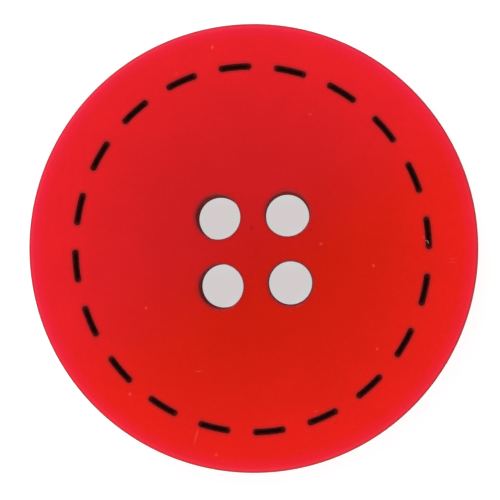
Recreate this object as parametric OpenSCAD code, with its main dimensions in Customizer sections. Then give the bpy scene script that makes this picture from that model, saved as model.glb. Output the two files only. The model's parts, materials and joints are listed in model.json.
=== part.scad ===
// Four-hole sew-through button in red polyester resin, lying face up.
// A ring of short engraved grooves, filled with black enamel, imitates hand stitching round the edge.
// Millimetres, +Z up. The origin is the middle of the flat back.

/* [Body] */
// Outside diameter
button_d = 28; // [22:0.5:40]
// Height from the flat back to the crest of the rim
thickness = 3.2; // [2.8:0.1:5]
// How far the middle of the face lies below the crest of the rim
dish_depth = 0.5; // [0.2:0.05:0.8]
// Width of the flat crest between the dish and the front edge
crest_w = 0.3; // [0.1:0.05:0.8]
// Radius of the front edge
front_edge_r = 0.3; // [0.2:0.05:0.8]
// Radius of the back edge
back_edge_r = 1.2; // [0.4:0.1:1.6]

/* [Sewing holes] */
// Diameter of each hole
hole_d = 2.8; // [1.5:0.1:3.2]
// Distance between neighbouring holes, middle to middle
hole_pitch = 4.35; // [3.8:0.05:6]
// Offset of the drilled pattern from the middle, along Y
hole_shift_y = -0.1; // [-0.3:0.05:0.3]
// Depth of the bevel that breaks the edge of each hole, front and back
hole_lip = 0.06; // [0.04:0.01:0.25]

/* [Stitch ring] */
// Number of stitches
stitch_count = 20; // [12:1:24]
// Distance in from the rim to the middle of the stitches, on the ring's short axis
side_margin = 3; // [2:0.1:4]
// Distance in from the rim to the middle of the stitches, on the ring's long axis
end_margin = 2.62; // [2:0.02:4]
// Turn of the ring's short axis from X, in degrees
ring_turn = 2.8; // [-9:0.1:9]
// Offset of the ring from the middle, along X
ring_shift_x = -0.1; // [-0.3:0.05:0.3]
// Offset of the ring from the middle, along Y
ring_shift_y = -0.05; // [-0.3:0.05:0.3]
// Length of a stitch over its round ends
stitch_l = 2.05; // [1:0.05:2.2]
// Width of a stitch
stitch_w = 0.4; // [0.2:0.02:0.6]
// Depth of a groove below the face
groove_depth = 0.25; // [0.1:0.05:0.5]
// Depth at which the black fill stops below the face
fill_recess = 0.05; // [0.01:0.01:0.08]

/* [Hidden] */

button_r = button_d / 2;
hole_r = hole_d / 2;
stitch_r = stitch_w / 2;

// A stitch's ends are a little blunter than half round, so that they meet its sides at a clear corner
end_bluntness = 1.1;
stitch_end_r = stitch_r * end_bluntness;

// The dish is part of a sphere that meets the crest at dish_edge_r
dish_edge_r = button_r - front_edge_r - crest_w;
dish_r = (dish_edge_r ^ 2 + dish_depth ^ 2) / (2 * dish_depth);
dish_z = thickness - dish_depth + dish_r;

// Middles of the two edge rounds in the half section
front_edge = [button_r - front_edge_r, thickness - front_edge_r];
back_edge = [button_r - back_edge_r, back_edge_r];

// Half axes of the oval that the stitches follow
ring_a = button_r - side_margin;
ring_b = button_r - end_margin;

// Cuts run this far past the surface that they open through
overrun = 1;

// Facet counts for display: revolved forms, large arcs seen edge on, stitch sides and round stitch ends
round_fn = 180;
large_arc_fn = 3600;
stitch_side_fn = 720;
stitch_end_fn = 24;

// Height of the dished face at a distance r from the axis
function face_z(r) = dish_z - sqrt(dish_r ^ 2 - r ^ 2);

// A point of the oval at the angle t, the direction square to the oval there and its radius of curvature
function oval_point(t) = [ring_a * cos(t), ring_b * sin(t)];
function oval_normal(t) = atan2(ring_a * sin(t), ring_b * cos(t));
function oval_bend(t) = ((ring_a * sin(t)) ^ 2 + (ring_b * cos(t)) ^ 2) ^ 1.5 / (ring_a * ring_b);

// Half section of the button: flat back, dished face, and both outer edges rounded
module body_section() {
  difference() {
    union() {
      polygon([
        [0, 0],
        [back_edge.x, 0],
        back_edge,
        [button_r, back_edge.y],
        [button_r, front_edge.y],
        front_edge,
        [front_edge.x, thickness],
        [0, thickness]
      ]);
      translate(front_edge) circle(front_edge_r, $fn = round_fn);
      translate(back_edge) circle(back_edge_r, $fn = round_fn);
    }
    translate([0, dish_z]) circle(dish_r, $fn = large_arc_fn);
  }
}

// One sewing hole from the back to a face that it meets at mouth_z. A ball that reaches hole_lip into each
// end, and is there at 45 degrees to the wall, breaks the edge. The last square keeps half of the section.
module sewing_hole(mouth_z) {
  ball_r = hole_r * sqrt(2);
  low = hole_lip - hole_r;
  high = mouth_z - hole_lip + hole_r;
  rotate_extrude($fn = round_fn) intersection() {
    union() {
      translate([0, low]) square([hole_r, high - low]);
      for (z = [low, high]) translate([0, z]) circle(ball_r, $fn = round_fn);
    }
    translate([0, low - hole_d]) square([hole_d, high - low + 2 * hole_d]);
  }
}

// The four holes, at the corners of a square
module sewing_holes() {
  half = hole_pitch / 2;
  for (x = [-half, half], y = [hole_shift_y - half, hole_shift_y + half]) {
    translate([x, y]) sewing_hole(face_z(norm([x, y])));
  }
}

// Outline of one stitch: a short arc about the origin that crosses the X axis at bend_r, with round ends
module stitch_outline(bend_r) {
  half_angle = (stitch_l / 2 - stitch_end_r) / bend_r * 180 / PI;
  outer = bend_r + overrun;
  intersection() {
    difference() {
      circle(bend_r + stitch_r, $fn = stitch_side_fn);
      circle(bend_r - stitch_r, $fn = stitch_side_fn);
    }
    union() {
      intersection() {
        rotate(half_angle) translate([0, -outer]) square(outer);
        rotate(-half_angle) square(outer);
      }
      for (end = [-half_angle, half_angle]) {
        rotate(end) translate([bend_r, 0]) circle(stitch_end_r, $fn = stitch_end_fn);
      }
    }
  }
}

// Upright prisms with the outlines of all the stitches, through the whole face
module stitch_prisms() {
  translate([ring_shift_x, ring_shift_y, thickness - dish_depth - groove_depth]) rotate(ring_turn) {
    for (i = [0:stitch_count - 1]) {
      t = i * 360 / stitch_count;
      bend_r = oval_bend(t);
      translate(oval_point(t)) rotate(oval_normal(t)) translate([-bend_r, 0]) {
        linear_extrude(dish_depth + groove_depth + overrun) stitch_outline(bend_r);
      }
    }
  }
}

// Everything above a copy of the dished face that lies lower by drop
module above_face(drop) {
  rotate_extrude($fn = round_fn) intersection() {
    translate([0, dish_z - drop]) circle(dish_r, $fn = large_arc_fn);
    square([button_r, thickness + 2 * overrun]);
  }
}

// Grooves of even depth below the dished face
module stitch_grooves() {
  intersection() {
    stitch_prisms();
    above_face(groove_depth);
  }
}

// The red body, turned in one piece, drilled and engraved
module button() {
  color("#d2201c") difference() {
    rotate_extrude($fn = round_fn) body_section();
    sewing_holes();
    stitch_grooves();
  }
}

// The black fill, one solid in each groove, on the groove's own floor and walls
module stitch_marks() {
  color("#141111") difference() {
    stitch_grooves();
    above_face(fill_recess);
  }
}

button();
stitch_marks();
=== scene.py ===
import json
import math

import bpy
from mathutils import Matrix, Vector


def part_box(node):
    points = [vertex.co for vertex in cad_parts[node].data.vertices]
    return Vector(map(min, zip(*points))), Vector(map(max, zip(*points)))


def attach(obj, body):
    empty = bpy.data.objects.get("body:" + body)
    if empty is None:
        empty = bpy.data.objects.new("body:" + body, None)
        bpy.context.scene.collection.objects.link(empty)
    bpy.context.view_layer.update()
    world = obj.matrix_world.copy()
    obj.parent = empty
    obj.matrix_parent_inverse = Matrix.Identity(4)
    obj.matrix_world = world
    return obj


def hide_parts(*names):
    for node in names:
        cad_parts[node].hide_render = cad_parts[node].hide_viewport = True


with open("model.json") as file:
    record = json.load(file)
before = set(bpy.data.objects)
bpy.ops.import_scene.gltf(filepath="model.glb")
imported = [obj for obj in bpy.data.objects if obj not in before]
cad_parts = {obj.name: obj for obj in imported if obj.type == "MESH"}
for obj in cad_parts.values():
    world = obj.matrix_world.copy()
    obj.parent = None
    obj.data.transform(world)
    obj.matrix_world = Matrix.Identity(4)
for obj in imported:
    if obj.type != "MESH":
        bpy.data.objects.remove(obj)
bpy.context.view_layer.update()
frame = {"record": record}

MM = 0.001
scene = bpy.context.scene

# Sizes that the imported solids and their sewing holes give
low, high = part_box("button")
BUTTON_R = (high.x - low.x) / 2
THICKNESS = high.z - low.z
bores = [mount for mount in frame["record"]["mounts"] if mount["kind"] == "bore"]
hole_x = [bore["pos_m"][0] for bore in bores]
hole_y = [bore["pos_m"][1] for bore in bores]
HOLE_R = bores[0]["dims"]["r_mm"] * MM
HOLE_PITCH = max(hole_x) - min(hole_x)
HOLE_SHIFT = sum(hole_y) / len(hole_y)

# Sizes of the button's section, as in the solids
DISH_DEPTH = 0.5 * MM
CREST_W = 0.3 * MM
FRONT_EDGE_R = 0.3 * MM
BACK_EDGE_R = 1.2 * MM
HOLE_LIP = 0.06 * MM

# The dish is part of a sphere that meets the crest of the rim
DISH_EDGE_R = BUTTON_R - FRONT_EDGE_R - CREST_W
DISH_R = (DISH_EDGE_R ** 2 + DISH_DEPTH ** 2) / (2 * DISH_DEPTH)
DISH_Z = THICKNESS - DISH_DEPTH + DISH_R

# Height of the lowest spot of the dish, and of the line where the side meets the round of the front edge
FACE_Z = THICKNESS - DISH_DEPTH
EDGE_Z = THICKNESS - FRONT_EDGE_R

# The ring of strokes, as in the solids: slightly oval, a little turned and off the middle
STROKES = 20
RING_HALF_X = 11.0 * MM
RING_HALF_Y = 11.38 * MM
RING_TURN = math.radians(2.8)
RING_SHIFT = (-0.1 * MM, -0.05 * MM, 0)
STROKE_L = 2.05 * MM
STROKE_W = 0.4 * MM
GROOVE_DEPTH = 0.25 * MM
FILL_RECESS = 0.05 * MM

# The enamel's top sags this far in the middle of a stroke, and wavers by this much over this distance
ENAMEL_SAG = 0.015 * MM
ENAMEL_WAVER = 0.015 * MM
WAVER_SIZE = 0.5 * MM

# Cuts run this far past the surface that they open through
OVERRUN = 0.3 * MM

# Fineness: steps round the blank and round a hole, points on the ring, and points along and across a stroke
BLANK_STEPS = 288
HOLE_STEPS = 96
RING_POINTS = 720
STROKE_POINTS = (41, 9)

# Edges sharper than these angles stay sharp, and points closer than the weld become one
STROKE_CREASE = math.radians(40)
BODY_CREASE = math.radians(50)
WELD = 0.0001 * MM


def linear(hex_colour):
    """An sRGB hex colour such as #d2201c as linear RGBA."""
    parts = [int(hex_colour[i:i + 2], 16) / 255 for i in (1, 3, 5)]
    return [c / 12.92 if c <= 0.04045 else ((c + 0.055) / 1.055) ** 2.4 for c in parts] + [1.0]


def add(tree, kind, inputs=(), **settings):
    """Adds a node with its settings to a tree. Its inputs come in order, or by socket name or number. Each
    is a value, a socket to link, or a node, of which the first output in use is linked."""
    node = tree.nodes.new(kind)
    for name, value in settings.items():
        setattr(node, name, value)
    for key, value in inputs.items() if isinstance(inputs, dict) else enumerate(inputs):
        if isinstance(value, bpy.types.Node):
            value = next(output for output in value.outputs if output.enabled)
        if isinstance(value, bpy.types.NodeSocket):
            tree.links.new(value, node.inputs[key])
        else:
            node.inputs[key].default_value = value
    return node


def new_material(name):
    """A material and its empty node tree."""
    material = bpy.data.materials.new(name)
    material.use_nodes = True
    material.node_tree.nodes.clear()
    return material, material.node_tree


# What a noise texture mostly keeps between
NOISE_RANGE = (0.3, 0.7)

# Colour of the dye at shares of the button's radius, from the middle to the rim, with painted shade darkest
# in the middle and painted light towards the rim
DYE_WITH_PAINTED_SHADE = ((0.0, "#c91909"), (0.4, "#d21c0c"), (0.67, "#de1e12"), (0.9, "#ec2019"), (1.0, "#ee211b"))

# Painted pink reflection on the crest and painted shade in a dark line on the front edge: colours, the
# shares of the radius over which each sets in, and how
PAINTED_RIM_LIGHT_AND_SHADE = (("#f22236", (0.92, 0.99), "SMOOTHSTEP"), ("#92101e", (0.987, 0.998), "LINEAR"))

# Heights over which both set in, where the side turns into the front edge
RIM_HEIGHTS = (EDGE_Z - 0.03 * MM, EDGE_Z + 0.055 * MM)

# Painted cool sheen over the upper left: the blue that it adds, which way, and half the width of the change
PAINTED_SHEEN_BLUE = "#00001a"
PAINTED_SHEEN_WAY = (-0.5, 0.866, 0)
PAINTED_SHEEN_HALF = BUTTON_R / 4


def dye_with_painted_light(tree, plan, share, height):
    """Colour of the dye, with painted light. Painted shade darkens the middle and the rim is painted
    lighter, a painted pink reflection lies on the crest, and painted shade makes a thin dark line where the
    tumbled front edge turns over. A painted cool sheen lies on the upper left."""
    colour = add(tree, "ShaderNodeValToRGB", (share,))
    stops = colour.color_ramp.elements
    for stop_share, _ in DYE_WITH_PAINTED_SHADE[1:-1]:
        stops.new(stop_share)
    for stop, (_, tint) in zip(stops, DYE_WITH_PAINTED_SHADE):
        stop.color = linear(tint)
    above_side = add(tree, "ShaderNodeMapRange", (height, *RIM_HEIGHTS, 0.0, 1.0))
    # Painted pink reflection on the crest, and painted shade in a thin dark line on the front edge
    for tint, shares, change in PAINTED_RIM_LIGHT_AND_SHADE:
        painted_rim = add(tree, "ShaderNodeMapRange", (share, *shares, 0.0, 1.0), interpolation_type=change)
        painted_rim = add(tree, "ShaderNodeMath", (painted_rim, above_side), operation="MULTIPLY")
        colour = add(tree, "ShaderNodeMix", {0: painted_rim, 6: colour, 7: linear(tint)}, data_type="RGBA")
    # Painted cool sheen towards the upper left
    painted_sheen = add(tree, "ShaderNodeVectorMath", (plan, PAINTED_SHEEN_WAY), operation="DOT_PRODUCT")
    painted_sheen = add(tree, "ShaderNodeMapRange", (painted_sheen, -PAINTED_SHEEN_HALF, PAINTED_SHEEN_HALF, 0.0, 1.0),
                interpolation_type="SMOOTHSTEP")
    return add(tree, "ShaderNodeMix", {0: painted_sheen, 6: colour, 7: linear(PAINTED_SHEEN_BLUE)},
               data_type="RGBA", blend_type="ADD")


# Lines of the tool, drawn this far apart so that they show, and how much higher than the grain on the back
LINE_GAP = 0.4 * MM
LINE_RELIEF = 4.0


def tool_lines(tree, radius, height, drilled):
    """Relief of the tool's lines, which tumbling has left faint on the side and taken off the face. They lie
    round the axis on the back and the side, and one above the other in the holes."""
    outside = add(tree, "ShaderNodeMath", (1.0, drilled), operation="SUBTRACT")
    feed = add(tree, "ShaderNodeMath", (radius, outside, height), operation="MULTIPLY_ADD")
    feed = add(tree, "ShaderNodeCombineXYZ", (feed,))

    # At a scale of 1 the wave texture repeats after pi / 10
    lines = add(tree, "ShaderNodeTexWave",
                {"Vector": feed, "Scale": math.pi / 10 / LINE_GAP, "Distortion": 0.4, "Detail": 1.0},
                wave_type="BANDS", bands_direction="X").outputs["Fac"]
    left = add(tree, "ShaderNodeMapRange", (height, FACE_Z, BACK_EDGE_R / 2, 0.0, LINE_RELIEF))
    return add(tree, "ShaderNodeMath", (lines, left), operation="MULTIPLY")


# Grey on the resin: painted shade round the holes, and a grey halo on the face round the strokes; how dense
# each is where it starts, and how far it reaches
GREY_OF_HALO_AND_SHADE = "#2c2c30"
PAINTED_SHADE_AT_HOLES = 0.34
PAINTED_SHADE_REACH = 0.2 * MM
STROKE_HALO = 0.5
STROKE_HALO_REACH = 0.2 * MM


def shade_round_holes(tree, plan):
    """Painted shade round the edge of each hole, by the distance from the nearest hole's axis."""
    corner = add(tree, "ShaderNodeVectorMath", (plan, (0, HOLE_SHIFT, 0)), operation="SUBTRACT")
    corner = add(tree, "ShaderNodeVectorMath", (corner,), operation="ABSOLUTE")
    away = add(tree, "ShaderNodeVectorMath", (corner, (HOLE_PITCH / 2, HOLE_PITCH / 2, 0)),
               operation="DISTANCE")
    mouth_r = HOLE_R + HOLE_LIP
    return add(tree, "ShaderNodeMapRange", (away, mouth_r, mouth_r + PAINTED_SHADE_REACH, PAINTED_SHADE_AT_HOLES, 0.0),
               interpolation_type="SMOOTHSTEP")


def stroke_halo(tree, plan, front):
    """Grey halo on the face round each stroke, fading out with the distance from the nearest stroke."""
    ring_r = (RING_HALF_X + RING_HALF_Y) / 2
    oval = add(tree, "ShaderNodeMapping",
               {"Vector": plan, "Location": RING_SHIFT, "Rotation": (0, 0, RING_TURN),
                "Scale": (RING_HALF_X, RING_HALF_Y, 1)}, vector_type="TEXTURE")
    across = add(tree, "ShaderNodeVectorMath", (oval,), operation="LENGTH")
    across = add(tree, "ShaderNodeMath", (across, ring_r, -ring_r), operation="MULTIPLY_ADD")

    # Along the ring, only what lies past the straight part of a stroke counts
    half_step = math.pi / STROKES
    x, y, _ = add(tree, "ShaderNodeSeparateXYZ", (oval,)).outputs
    along = add(tree, "ShaderNodeMath", (y, x), operation="ARCTAN2")
    along = add(tree, "ShaderNodeMath", (along, half_step, -half_step), operation="WRAP")
    along = add(tree, "ShaderNodeMath", (along,), operation="ABSOLUTE")
    past = add(tree, "ShaderNodeMath", (along, ring_r, (STROKE_W - STROKE_L) / 2), operation="MULTIPLY_ADD")
    past = add(tree, "ShaderNodeMath", (past, 0.0), operation="MAXIMUM")
    away = add(tree, "ShaderNodeCombineXYZ", (past, across))
    away = add(tree, "ShaderNodeVectorMath", (away,), operation="LENGTH")
    halo = add(tree, "ShaderNodeMapRange", (away, STROKE_W / 2, STROKE_W / 2 + STROKE_HALO_REACH, STROKE_HALO, 0.0))
    return add(tree, "ShaderNodeMath", (halo, front), operation="MULTIPLY")


# Knocks and hairlines on the face: place in mm, length and width in mm, turn in degrees, and strength
PALE_RED = "#ff4e50"
PALE_MARKS = (
    ((-2.0, 12.6), (0.32, 0.15), 80, 1.0),
    ((-8.1, -8.7), (0.28, 0.2), 100, 0.7),
    ((7.4, -1.4), (0.28, 0.2), 100, 0.6),
    ((-6.9, -3.4), (0.24, 0.24), 0, 0.5),
    ((-2.9, -12.7), (0.36, 0.2), 64, 0.5),
    ((-4.1, -11.5), (1.5, 0.12), 73, 0.5),
    ((7.4, -6.6), (0.24, 0.2), 135, 0.5),
    ((3.9, 8.2), (0.24, 0.15), 0, 0.5),
    ((4.2, 0.1), (0.3, 0.22), 53, 0.4),
    ((-3.8, -7.5), (0.6, 0.13), -2, 0.4),
    ((-4.3, 11.1), (0.24, 0.15), 90, 0.4),
    ((3.4, -10.3), (0.32, 0.13), 0, 0.35),
    ((12.3, -1.2), (0.6, 0.1), 0, 0.3),
    ((12.3, -1.4), (0.6, 0.1), 5, 0.3),
    ((10.6, 0.2), (0.3, 0.1), -50, 0.4),
)
DARK_RED = "#8e0d08"
DARK_MARKS = (
    ((-0.1, 1.3), (0.26, 0.22), 80, 0.6),
    ((3.6, 1.0), (0.28, 0.2), 70, 0.4),
    ((4.6, -11.1), (0.24, 0.15), 20, 0.4),
)

# A mark has its full strength up to this share of its size, and fades to nothing at its edge
MARK_CORE = 0.3


def face_marks(tree, plan, front, marks):
    """How strongly a spot of the face is marked, by the strongest of the marks there."""
    strongest = 0.0
    for (x, y), (length, width), turn, strength in marks:
        mark = add(tree, "ShaderNodeMapping",
                   {"Vector": plan, "Location": (x * MM, y * MM, 0), "Rotation": (0, 0, math.radians(turn)),
                    "Scale": (length * MM / 2, width * MM / 2, 1)}, vector_type="TEXTURE")
        mark = add(tree, "ShaderNodeVectorMath", (mark,), operation="LENGTH")
        mark = add(tree, "ShaderNodeMapRange", (mark, 1.0, MARK_CORE, 0.0, strength))
        strongest = add(tree, "ShaderNodeMath", (mark, strongest), operation="MAXIMUM")
    return add(tree, "ShaderNodeMath", (strongest, front), operation="MULTIPLY")


# Clouds in the dye, and pigment grain drawn coarse so that it shows: size, and how far each changes the tone
CLOUD_SIZE = 3 * MM
CLOUD_TONE = (0.975, 1.025)
GRAIN_SIZE = 0.2 * MM
GRAIN_TONE = (0.98, 1.02)

# How high the grain stands, which tumbling leaves all over
GRAIN_RELIEF = 0.006 * MM

# The lines of the tool darken the tone, fully so from this relief on
LINE_TONE = 0.94
LINE_FULL = 1.5

# Cut walls, painted dark as shade in the holes: colours deep in a hole and at its mouth, how deep the mouth
# goes, and the stain in the grooves
SHADED_WALL_DEEP = "#9c1d1e"
SHADED_WALL_MOUTH = "#ac2022"
MOUTH_DEPTH = 0.2 * MM
GROOVE_STAIN = "#3a0806"

# Roughness of the face, of the rim from these shares of the radius on, and of the cut walls
FACE_ROUGH = 0.32
RIM_ROUGH = 0.62
RIM_SHARES = (0.97, 0.985)
CUT_ROUGH = 0.85

# How far the grain makes the face and the rim smoother or rougher
UNEVEN_ROUGH = (-0.03, 0.03)


def dyed_polyester():
    """Polyester resin, dyed through in the sheet, turned and then tumbled to a satin. Its red is painted
    darker towards the middle as shade, and lighter and pinker towards the rim as painted light. The gloss is
    soft, and the cut walls of the holes, which no tumbling reaches, are rough and painted dark as shade."""
    material, tree = new_material("dyed_polyester_turned_and_tumbled")
    place = add(tree, "ShaderNodeTexCoord").outputs["Object"]
    height = add(tree, "ShaderNodeSeparateXYZ", (place,)).outputs["Z"]
    front = add(tree, "ShaderNodeMath", (height, THICKNESS / 2), operation="GREATER_THAN")
    plan = add(tree, "ShaderNodeVectorMath", (place, (1, 1, 0)), operation="MULTIPLY")
    radius = add(tree, "ShaderNodeVectorMath", (plan,), operation="LENGTH")
    share = add(tree, "ShaderNodeMath", (radius, BUTTON_R), operation="DIVIDE")
    drilled = add(tree, "ShaderNodeAttribute", attribute_name="drilled").outputs["Fac"]
    engraved = add(tree, "ShaderNodeAttribute", attribute_name="engraved").outputs["Fac"]

    # The dye with its painted light and shade, with its clouds and grain and the lines of the tool
    cloud = add(tree, "ShaderNodeTexNoise", {"Vector": place, "Scale": 1 / CLOUD_SIZE, "Detail": 2.0})
    cloud_tone = add(tree, "ShaderNodeMapRange", (cloud, *NOISE_RANGE, *CLOUD_TONE))
    grain = add(tree, "ShaderNodeTexNoise", {"Vector": place, "Scale": 1 / GRAIN_SIZE, "Detail": 1.0})
    grain_tone = add(tree, "ShaderNodeMapRange", (grain, *NOISE_RANGE, *GRAIN_TONE))
    lines = tool_lines(tree, radius, height, drilled)
    line_tone = add(tree, "ShaderNodeMapRange", (lines, 0.0, LINE_FULL, 1.0, LINE_TONE))
    tone = add(tree, "ShaderNodeMath", (cloud_tone, grain_tone), operation="MULTIPLY")
    tone = add(tree, "ShaderNodeMath", (tone, line_tone), operation="MULTIPLY")
    colour = add(tree, "ShaderNodeHueSaturation", {"Value": tone, "Color": dye_with_painted_light(tree, plan, share, height)})

    # What covers the dye: painted shade round the holes, a grey halo round the strokes, the marks, and the
    # colours of the cut walls, painted darker in the holes as shade
    halo_and_shade = add(tree, "ShaderNodeMath", (stroke_halo(tree, plan, front), shade_round_holes(tree, plan)),
               operation="MAXIMUM")
    pale = face_marks(tree, plan, front, PALE_MARKS)
    dark = face_marks(tree, plan, front, DARK_MARKS)
    # Walls of the holes painted darker as shade, darker still deep down
    mouth = add(tree, "ShaderNodeMapRange", (height, FACE_Z - MOUTH_DEPTH, FACE_Z, 0.0, 1.0))
    shaded_wall = add(tree, "ShaderNodeMix", {0: mouth, 6: linear(SHADED_WALL_DEEP), 7: linear(SHADED_WALL_MOUTH)},
               data_type="RGBA")
    covers = ((halo_and_shade, linear(GREY_OF_HALO_AND_SHADE)), (pale, linear(PALE_RED)), (dark, linear(DARK_RED)),
              (drilled, shaded_wall), (engraved, linear(GROOVE_STAIN)))
    for cover, tint in covers:
        colour = add(tree, "ShaderNodeMix", {0: cover, 6: colour, 7: tint}, data_type="RGBA")

    # Gloss: softer on the rim and the side, softest in the cut walls, and a little uneven with the grain
    rough = add(tree, "ShaderNodeMapRange", (share, *RIM_SHARES, FACE_ROUGH, RIM_ROUGH))
    uneven = add(tree, "ShaderNodeMapRange", (grain, *NOISE_RANGE, *UNEVEN_ROUGH))
    rough = add(tree, "ShaderNodeMath", (rough, uneven), operation="ADD")
    cut = add(tree, "ShaderNodeMath", (drilled, engraved), operation="MAXIMUM")
    rough = add(tree, "ShaderNodeMix", {0: cut, 2: rough, 3: CUT_ROUGH})

    # Relief: the grain, the lines of the tool, and the pale knocks
    relief = add(tree, "ShaderNodeMath", (grain, lines), operation="ADD")
    relief = add(tree, "ShaderNodeMath", (relief, pale), operation="SUBTRACT")
    bump = add(tree, "ShaderNodeBump", {"Strength": 0.4, "Distance": GRAIN_RELIEF, "Height": relief})
    shader = add(tree, "ShaderNodeBsdfPrincipled",
                 {"Base Color": colour, "Roughness": rough, "IOR": 1.5, "Specular IOR Level": 0.2,
                  "Normal": bump})
    add(tree, "ShaderNodeOutputMaterial", (shader,))
    return material


# Colours of the enamel where it is full and where it is thin, and how near the middle it starts to thin
ENAMEL_BLACK = "#150202"
ENAMEL_THIN = "#a01a14"
THIN_FROM = 0.9

# Pools in the enamel: their size, their relief, and the roughness that they vary between
POOL_SIZE = 0.25 * MM
POOL_RELIEF = 0.01 * MM
POOL_ROUGH = (0.4, 0.55)

# The chip in one stroke: middle, radius and width of its curl, the side of it that shows, and its colour
CHIP_PLACE = (10.74 * MM, -0.13 * MM, 0)
CHIP_R = 0.14 * MM
CHIP_W = 0.06 * MM
CHIP_SIDE = (0.5, 1, 0)
CHIP_PALE = "#92716c"


def chip(tree, plan):
    """1 on the chip, which is the upper right part of a small curl."""
    curl = add(tree, "ShaderNodeVectorMath", (plan, CHIP_PLACE), operation="SUBTRACT")
    radius = add(tree, "ShaderNodeVectorMath", (curl,), operation="LENGTH")
    on_curl = add(tree, "ShaderNodeMath", (radius, CHIP_R, CHIP_W / 2), operation="COMPARE")
    upper = add(tree, "ShaderNodeVectorMath", (curl, CHIP_SIDE), operation="DOT_PRODUCT")
    upper = add(tree, "ShaderNodeMath", (upper, 0.0), operation="GREATER_THAN")
    return add(tree, "ShaderNodeMath", (on_curl, upper), operation="MULTIPLY")


def black_enamel():
    """Black enamel, run into the engraved strokes, wiped level and dried. It is a deep black with a soft,
    slightly uneven gloss, browner where it lies thin along its edge, and chipped pale in one place."""
    material, tree = new_material("black_enamel_wiped_in")
    place = add(tree, "ShaderNodeTexCoord").outputs["Object"]
    plan = add(tree, "ShaderNodeVectorMath", (place, (1, 1, 0)), operation="MULTIPLY")
    middle = add(tree, "ShaderNodeAttribute", attribute_name="middle").outputs["Fac"]
    pooled = add(tree, "ShaderNodeTexNoise", {"Vector": place, "Scale": 1 / POOL_SIZE, "Detail": 2.0})
    thin = add(tree, "ShaderNodeMapRange", (middle, THIN_FROM, 0.0, 0.0, 1.0))
    thin = add(tree, "ShaderNodeMath", (thin, pooled), operation="MULTIPLY")
    colour = add(tree, "ShaderNodeMix", {0: thin, 6: linear(ENAMEL_BLACK), 7: linear(ENAMEL_THIN)},
                 data_type="RGBA")
    colour = add(tree, "ShaderNodeMix", {0: chip(tree, plan), 6: colour, 7: linear(CHIP_PALE)},
                 data_type="RGBA")
    rough = add(tree, "ShaderNodeMapRange", (pooled, *NOISE_RANGE, *POOL_ROUGH))
    bump = add(tree, "ShaderNodeBump", {"Strength": 0.3, "Distance": POOL_RELIEF, "Height": pooled})
    shader = add(tree, "ShaderNodeBsdfPrincipled",
                 {"Base Color": colour, "Roughness": rough, "IOR": 1.5, "Specular IOR Level": 0.05,
                  "Normal": bump})
    add(tree, "ShaderNodeOutputMaterial", (shader,))
    return material


def new_piece(name, points=(), edges=(), faces=()):
    """An object at the origin whose mesh has these points, edges and faces."""
    mesh = bpy.data.meshes.new(name)
    mesh.from_pydata(points, edges, faces)
    piece = bpy.data.objects.new(name, mesh)
    scene.collection.objects.link(piece)
    return piece


def settle(piece):
    """Turns a piece and its modifiers into a plain mesh."""
    graph = bpy.context.evaluated_depsgraph_get()
    mesh = bpy.data.meshes.new_from_object(piece.evaluated_get(graph), preserve_all_data_layers=True,
                                           depsgraph=graph)
    piece.modifiers.clear()
    piece.data = mesh
    return piece


def turned(name, outline, steps):
    """A solid turned about Z from the (radius, height) points of its half section, bottom to top."""
    points = [(radius, 0, height) for radius, height in outline]
    piece = new_piece(name, points, [(i, i + 1) for i in range(len(points) - 1)])
    lathe = piece.modifiers.new("lathe", "SCREW")
    lathe.steps = steps
    lathe.render_steps = steps
    lathe.use_merge_vertices = True
    lathe.merge_threshold = WELD
    lathe.use_normal_flip = True
    return settle(piece)


def line(start, end, steps):
    """Points of a straight stretch of a half section, without its end."""
    return [(start[0] + (end[0] - start[0]) * i / steps, start[1] + (end[1] - start[1]) * i / steps)
            for i in range(steps)]


def arc(middle, radius, start, end, steps):
    """Points of a round stretch of a half section between two angles in degrees, without its end."""
    turns = [math.radians(start + (end - start) * i / steps) for i in range(steps)]
    return [(middle[0] + radius * math.cos(a), middle[1] + radius * math.sin(a)) for a in turns]


def blank_outline():
    """Half section of the blank: flat back, rounded back edge, side, rounded front edge, crest and dish."""
    back = (BUTTON_R - BACK_EDGE_R, BACK_EDGE_R)
    front = (BUTTON_R - FRONT_EDGE_R, EDGE_Z)
    dish_start = math.degrees(math.asin(DISH_EDGE_R / DISH_R)) - 90
    return (line((0, 0), (back[0], 0), steps=32)
            + arc(back, BACK_EDGE_R, -90, 0, steps=16)
            + line((BUTTON_R, back[1]), (BUTTON_R, front[1]), steps=6)
            + arc(front, FRONT_EDGE_R, 0, 90, steps=12)
            + line((front[0], THICKNESS), (DISH_EDGE_R, THICKNESS), steps=3)
            + arc((0, DISH_Z), DISH_R, dish_start, -90, steps=60)
            + [(0, FACE_Z)])


def drill_outline():
    """Half section of the drill that makes a sewing hole and breaks its edge, front and back."""
    mouth = DISH_Z - math.sqrt(DISH_R ** 2 - HOLE_PITCH ** 2 / 2)
    wide = HOLE_R + HOLE_LIP + OVERRUN
    return [(0, -OVERRUN), (wide, -OVERRUN), (HOLE_R, HOLE_LIP), (HOLE_R, mouth - HOLE_LIP),
            (wide, mouth + OVERRUN), (0, mouth + OVERRUN)]


def new_tree(name, sockets):
    """A geometry node tree with named inputs, and the sockets of these."""
    tree = bpy.data.node_groups.new(name, "GeometryNodeTree")
    for label, kind in sockets:
        tree.interface.new_socket(label, in_out="INPUT", socket_type="NodeSocket" + kind)
    tree.interface.new_socket("Geometry", in_out="OUTPUT", socket_type="NodeSocketGeometry")
    return tree, add(tree, "NodeGroupInput").outputs


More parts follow.
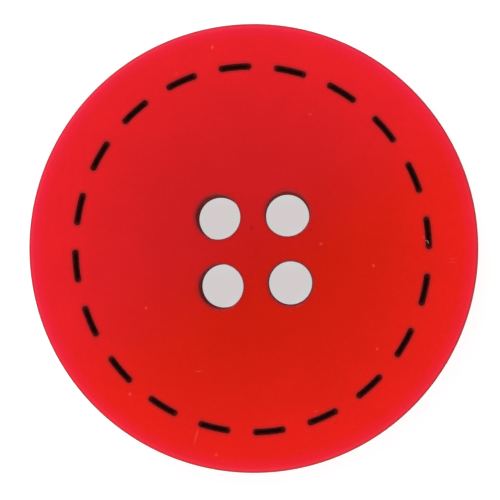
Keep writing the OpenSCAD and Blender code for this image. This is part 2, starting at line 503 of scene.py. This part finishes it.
def end_tree(tree, mesh, crease, material):
    """Ends a geometry node tree: smooth shading up to the crease angle, one real mesh, and its material."""
    angle = add(tree, "GeometryNodeInputMeshEdgeAngle")
    soft = add(tree, "FunctionNodeCompare", (angle, crease), operation="LESS_THAN")
    shaded = add(tree, "GeometryNodeSetShadeSmooth", {"Geometry": mesh, "Shade Smooth": soft}, domain="EDGE")
    real = add(tree, "GeometryNodeRealizeInstances", (shaded,))
    done = add(tree, "GeometryNodeSetMaterial", {"Geometry": real, "Material": material})
    add(tree, "NodeGroupOutput", (done,))


def grow(piece, tree, values):
    """Puts a geometry node tree on a piece and sets the tree's named inputs."""
    modifier = piece.modifiers.new(tree.name, "NODES")
    modifier.node_group = tree
    for item in tree.interface.items_tree:
        if item.in_out == "INPUT" and item.name in values:
            modifier[item.identifier] = values[item.name]


def ring_curve(tree, use):
    """The oval that the strokes follow."""
    circle = add(tree, "GeometryNodeCurvePrimitiveCircle", {"Resolution": RING_POINTS, "Radius": 1.0})
    size = add(tree, "ShaderNodeCombineXYZ", (use["Half X"], use["Half Y"], 1.0))
    turn = add(tree, "ShaderNodeCombineXYZ", (0.0, 0.0, use["Turn"]))
    return add(tree, "GeometryNodeTransform",
               {"Geometry": circle, "Translation": use["Shift"], "Rotation": turn, "Scale": size})


def numbered_patches(tree, use):
    """One square patch for each stroke, which keeps its number."""
    columns, rows = STROKE_POINTS
    points = add(tree, "GeometryNodePoints", {"Count": use["Count"]})
    patch = add(tree, "GeometryNodeMeshGrid",
                {"Size X": 2, "Size Y": 2, "Vertices X": columns, "Vertices Y": rows})
    patches = add(tree, "GeometryNodeInstanceOnPoints", {"Points": points, "Instance": patch})
    number = add(tree, "GeometryNodeInputIndex")
    patches = add(tree, "GeometryNodeStoreNamedAttribute",
                  {"Geometry": patches, "Name": "stroke", "Value": number},
                  data_type="INT", domain="INSTANCE")
    return add(tree, "GeometryNodeRealizeInstances", (patches,))


def falling_off(tree, reach, end, run):
    """1 along a reach, then 1 - t * t over its last run, to 0 at its end."""
    start = add(tree, "ShaderNodeMath", (end, run), operation="SUBTRACT")
    past = add(tree, "ShaderNodeMath", (reach, start), operation="SUBTRACT")
    past = add(tree, "ShaderNodeMath", (past, run), operation="DIVIDE", use_clamp=True)
    past = add(tree, "ShaderNodeMath", (past, 2.0), operation="POWER")
    return add(tree, "ShaderNodeMath", (1.0, past), operation="SUBTRACT", use_clamp=True)


def stroke_places(tree, use):
    """Where a spot of a patch lies along and across a round-ended stroke, and how near the middle it is:
    1 on the middle line, falling to 0 at the sides and over the last width at each end."""
    spot = add(tree, "ShaderNodeSeparateXYZ", (add(tree, "GeometryNodeInputPosition"),)).outputs
    half_length = add(tree, "ShaderNodeMath", (use["Length"], 0.5), operation="MULTIPLY")
    end_radius = add(tree, "ShaderNodeMath", (use["Width"], 0.5), operation="MULTIPLY")

    # Columns of the patch crowd towards the ends, where the outline is round
    swing = add(tree, "ShaderNodeMath", (spot["X"], math.pi / 2), operation="MULTIPLY")
    swing = add(tree, "ShaderNodeMath", (swing,), operation="SINE")
    along = add(tree, "ShaderNodeMath", (swing, half_length), operation="MULTIPLY")
    reach = add(tree, "ShaderNodeMath", (along,), operation="ABSOLUTE")
    half_width = falling_off(tree, reach, half_length, end_radius)
    half_width = add(tree, "ShaderNodeMath", (half_width,), operation="SQRT")
    half_width = add(tree, "ShaderNodeMath", (half_width, end_radius), operation="MULTIPLY")
    across = add(tree, "ShaderNodeMath", (spot["Y"], half_width), operation="MULTIPLY")

    tail = falling_off(tree, reach, half_length, use["Width"])
    middle = add(tree, "ShaderNodeMath", (spot["Y"], 2.0), operation="POWER")
    middle = add(tree, "ShaderNodeMath", (1.0, middle), operation="SUBTRACT")
    middle = add(tree, "ShaderNodeMath", (middle, tail), operation="MULTIPLY")
    return along, across, middle


def let_down_on_face(tree, use, along, across):
    """The spot of the face under a place along and across a stroke. Each stroke is centred on its own equal
    step of the circle and bends along the oval."""
    ring = ring_curve(tree, use)
    number = add(tree, "GeometryNodeInputNamedAttribute", {"Name": "stroke"}, data_type="INT")
    step = add(tree, "ShaderNodeMath", (RING_POINTS, use["Count"]), operation="DIVIDE")
    centre = add(tree, "ShaderNodeMath", (number, step), operation="MULTIPLY")
    travel = add(tree, "GeometryNodeSplineParameter").outputs["Length"]
    centre = add(tree, "GeometryNodeSampleIndex", {"Geometry": ring, "Value": travel, "Index": centre})
    whole = add(tree, "GeometryNodeCurveLength", (ring,))
    run = add(tree, "ShaderNodeMath", (centre, along), operation="ADD")
    run = add(tree, "ShaderNodeMath", (run, whole), operation="FLOORED_MODULO")
    there = add(tree, "GeometryNodeSampleCurve", {"Curves": ring, "Length": run}, mode="LENGTH").outputs
    aside = add(tree, "ShaderNodeVectorMath", {0: there["Normal"], "Scale": across}, operation="SCALE")
    plan = add(tree, "ShaderNodeVectorMath", (there["Position"], aside), operation="SUBTRACT")
    above = add(tree, "ShaderNodeVectorMath", (plan, (0, 0, 2 * THICKNESS)), operation="ADD")
    face = add(tree, "GeometryNodeObjectInfo", {"Object": use["Face"]}).outputs["Geometry"]
    return add(tree, "GeometryNodeRaycast",
               {"Target Geometry": face, "Source Position": above, "Ray Direction": (0, 0, -1),
                "Ray Length": 4 * THICKNESS}).outputs["Hit Position"]


def stroke_tree():
    """Round-ended strokes set round an oval on a face, each a closed solid from its floor to its top."""
    tree, use = new_tree("strokes round an oval", (
        ("Geometry", "Geometry"), ("Face", "Object"), ("Count", "Int"), ("Half X", "Float"),
        ("Half Y", "Float"), ("Turn", "Float"), ("Shift", "Vector"), ("Length", "Float"), ("Width", "Float"),
        ("Floor", "Float"), ("Top", "Float"), ("Sag", "Float"), ("Waver", "Float"), ("Crease", "Float"),
        ("Material", "Material")))
    along, across, middle = stroke_places(tree, use)
    sheet = add(tree, "GeometryNodeStoreNamedAttribute",
                {"Geometry": numbered_patches(tree, use), "Name": "middle", "Value": middle},
                data_type="FLOAT", domain="POINT")
    drop = add(tree, "ShaderNodeCombineXYZ", (0.0, 0.0, use["Floor"]))
    floor = add(tree, "ShaderNodeVectorMath", (let_down_on_face(tree, use, along, across), drop),
                operation="SUBTRACT")
    laid = add(tree, "GeometryNodeSetPosition", {"Geometry": sheet, "Position": floor})

    # The floor is drawn up to the top, which sags and wavers away from its edge
    rise = add(tree, "ShaderNodeMath", (use["Floor"], use["Top"]), operation="ADD")
    rise = add(tree, "ShaderNodeCombineXYZ", (0.0, 0.0, rise))
    raised = add(tree, "GeometryNodeExtrudeMesh",
                 {"Mesh": laid, "Offset": rise, "Offset Scale": 1.0, "Individual": False},
                 mode="FACES").outputs
    waver = add(tree, "ShaderNodeTexNoise", {"Scale": 1 / WAVER_SIZE, "Detail": 2.0}, noise_dimensions="3D")
    waver = add(tree, "ShaderNodeMath", (waver, 0.5), operation="SUBTRACT")
    waver = add(tree, "ShaderNodeMath", (waver, use["Waver"]), operation="MULTIPLY")
    sag = add(tree, "ShaderNodeMath", (waver, use["Sag"]), operation="SUBTRACT")
    inward = add(tree, "GeometryNodeInputNamedAttribute", {"Name": "middle"}, data_type="FLOAT")
    sag = add(tree, "ShaderNodeMath", (sag, inward), operation="MULTIPLY")
    sag = add(tree, "ShaderNodeCombineXYZ", (0.0, 0.0, sag))
    topped = add(tree, "GeometryNodeSetPosition",
                 {"Geometry": raised["Mesh"], "Selection": raised["Top"], "Offset": sag})

    # The floor itself, turned to face down, closes the solid
    under = add(tree, "GeometryNodeFlipFaces", (laid,))
    closed = add(tree, "GeometryNodeJoinGeometry", (topped,))
    tree.links.new(under.outputs["Mesh"], closed.inputs["Geometry"])
    closed = add(tree, "GeometryNodeMergeByDistance", {"Geometry": closed, "Distance": WELD})
    end_tree(tree, closed, use["Crease"], use["Material"])
    return tree


def cutting_tree():
    """A blank drilled at the corners of a square and engraved, with its cut walls marked."""
    tree, use = new_tree("drilled and engraved", (
        ("Blank", "Geometry"), ("Drill", "Object"), ("Graver", "Object"), ("Pitch", "Float"),
        ("Shift", "Float"), ("Crease", "Float"), ("Material", "Material")))
    square = add(tree, "GeometryNodeMeshGrid",
                 {"Size X": use["Pitch"], "Size Y": use["Pitch"], "Vertices X": 2, "Vertices Y": 2})
    shift = add(tree, "ShaderNodeCombineXYZ", (0.0, use["Shift"], 0.0))
    corners = add(tree, "GeometryNodeTransform", {"Geometry": square, "Translation": shift})
    drill = add(tree, "GeometryNodeObjectInfo", {"Object": use["Drill"]}).outputs["Geometry"]
    drills = add(tree, "GeometryNodeInstanceOnPoints", {"Points": corners, "Instance": drill})
    drills = add(tree, "GeometryNodeRealizeInstances", (drills,))
    drills = add(tree, "GeometryNodeStoreNamedAttribute",
                 {"Geometry": drills, "Name": "drilled", "Value": 1.0}, data_type="FLOAT", domain="FACE")
    graver = add(tree, "GeometryNodeObjectInfo", {"Object": use["Graver"]}).outputs["Geometry"]
    graver = add(tree, "GeometryNodeStoreNamedAttribute",
                 {"Geometry": graver, "Name": "engraved", "Value": 1.0}, data_type="FLOAT", domain="FACE")
    tools = add(tree, "GeometryNodeJoinGeometry", (drills,))
    tree.links.new(graver.outputs["Geometry"], tools.inputs["Geometry"])
    cut = add(tree, "GeometryNodeMeshBoolean", {"Mesh 1": use["Blank"], "Mesh 2": tools},
              operation="DIFFERENCE", solver="MANIFOLD")
    end_tree(tree, cut, use["Crease"], use["Material"])
    return tree


# Tools: the blank, the drill, and the graver that cuts the grooves
blank = turned("blank", blank_outline(), BLANK_STEPS)
drill = turned("drill", drill_outline(), HOLE_STEPS)
strokes = stroke_tree()
ring = {"Face": blank, "Count": STROKES, "Half X": RING_HALF_X, "Half Y": RING_HALF_Y, "Turn": RING_TURN,
        "Shift": RING_SHIFT, "Length": STROKE_L, "Width": STROKE_W, "Floor": GROOVE_DEPTH,
        "Crease": STROKE_CREASE}
graver = new_piece("graver")
grow(graver, strokes, {**ring, "Top": OVERRUN, "Sag": 0.0, "Waver": 0.0})
settle(graver)

# The black strokes
enamel = new_piece("enamel_strokes")
grow(enamel, strokes, {**ring, "Top": -FILL_RECESS, "Sag": ENAMEL_SAG, "Waver": ENAMEL_WAVER,
                       "Material": black_enamel()})
settle(enamel)
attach(enamel, "root")
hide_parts("stitch_marks")

# The red body
body = new_piece("button_body")
body.data = blank.data.copy()
grow(body, cutting_tree(), {"Drill": drill, "Graver": graver, "Pitch": HOLE_PITCH, "Shift": HOLE_SHIFT,
                            "Crease": BODY_CREASE, "Material": dyed_polyester()})
even = body.modifiers.new("even shading", "WEIGHTED_NORMAL")
even.keep_sharp = True
settle(body)
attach(body, "root")
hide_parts("button")

for tool in (blank, drill, graver):
    bpy.data.objects.remove(tool)

# Stage: a floor of white paper, a hair below the button's flat back so that the two don't fight
FLOOR_HALF = 1.0
FLOOR_Z = -0.01 * MM
FLOOR_WHITE = "#d3d3d3"
FLOOR_GLOW = 0.60


def white_paper():
    """White paper. A glow that shows only in the camera's view and in reflections lifts it to white. It
    lights nothing, and the paper still takes the button's shadow."""
    material, tree = new_material("white_paper_floor")
    paper = add(tree, "ShaderNodeBsdfDiffuse", {"Color": linear(FLOOR_WHITE)})
    ray = add(tree, "ShaderNodeLightPath").outputs
    seen = add(tree, "ShaderNodeMath", (ray["Is Camera Ray"], ray["Is Glossy Ray"]), operation="MAXIMUM")
    seen = add(tree, "ShaderNodeMath", (seen, ray["Is Transmission Ray"]), operation="MAXIMUM")
    strength = add(tree, "ShaderNodeMath", (seen, FLOOR_GLOW), operation="MULTIPLY")
    glow = add(tree, "ShaderNodeEmission", {"Strength": strength})
    both = add(tree, "ShaderNodeAddShader", (paper, glow))
    add(tree, "ShaderNodeOutputMaterial", (both,))
    return material


corners = [(x * FLOOR_HALF, y * FLOOR_HALF, FLOOR_Z) for x, y in ((-1, -1), (1, -1), (1, 1), (-1, 1))]
floor = new_piece("floor", corners, faces=[(0, 1, 2, 3)])
floor.data.materials.append(white_paper())

# Light of the studio by the sine of its height: white at the horizon, brightest in a band, dark overhead
HORIZON_GLOW = 1.0
BAND_GLOW = 1.35
BAND_FROM = (0.3, 0.62)
BAND_TO = (0.64, 0.85)


def studio():
    """The world: soft white light from all round, with a dark opening overhead for the camera."""
    world = bpy.data.worlds.new("studio")
    world.use_nodes = True
    tree = world.node_tree
    tree.nodes.clear()
    ray = add(tree, "ShaderNodeTexCoord").outputs["Generated"]
    height = add(tree, "ShaderNodeSeparateXYZ", (ray,)).outputs["Z"]
    band = add(tree, "ShaderNodeMapRange", (height, *BAND_FROM, HORIZON_GLOW, BAND_GLOW),
               interpolation_type="SMOOTHSTEP")
    opening = add(tree, "ShaderNodeMapRange", (height, *BAND_TO, 1.0, 0.0), interpolation_type="SMOOTHSTEP")
    glow = add(tree, "ShaderNodeMath", (band, opening), operation="MULTIPLY")
    dome = add(tree, "ShaderNodeBackground", {"Color": linear("#ffffff"), "Strength": glow})
    add(tree, "ShaderNodeOutputWorld", (dome,))
    return world


def softbox(name, azimuth, elevation, distance, size, power):
    """A square soft lamp that faces the button; azimuth is from +X towards +Y."""
    lamp = bpy.data.lights.new(name, "AREA")
    lamp.shape = "SQUARE"
    lamp.size = size
    lamp.energy = power
    holder = bpy.data.objects.new(name, lamp)
    around = math.radians(azimuth)
    up = math.radians(elevation)
    away = Vector((math.cos(around) * math.cos(up), math.sin(around) * math.cos(up), math.sin(up)))
    holder.location = away * distance
    holder.rotation_euler = away.to_track_quat("Z", "Y").to_euler()
    scene.collection.objects.link(holder)


scene.world = studio()

# The key, at the upper left, leaves the walls on that side of the holes dark; the fill in front lifts them
softbox("key", azimuth=120, elevation=38, distance=300 * MM, size=125 * MM, power=0.25)
softbox("fill", azimuth=270, elevation=40, distance=300 * MM, size=125 * MM, power=0.20)

# Camera, straight above as in the photograph: place, turn in degrees, lens and sensor in mm, and frame shift
CAMERA_PLACE = (2.6 * MM, -1.7 * MM, 65 * MM)
CAMERA_TURN = -2.6
CAMERA_LENS = 71.666
CAMERA_SENSOR = 36
CAMERA_SHIFT = (-0.0935, 0.0477)

camera = bpy.data.cameras.new("camera")
camera.sensor_width = CAMERA_SENSOR
camera.lens = CAMERA_LENS
camera.shift_x, camera.shift_y = CAMERA_SHIFT
camera.clip_start = 1 * MM
camera.clip_end = 10
eye = bpy.data.objects.new("camera", camera)
eye.location = CAMERA_PLACE
eye.rotation_euler = (0, 0, math.radians(CAMERA_TURN))
scene.collection.objects.link(eye)
scene.camera = eye
scene.view_settings.view_transform = "Standard"
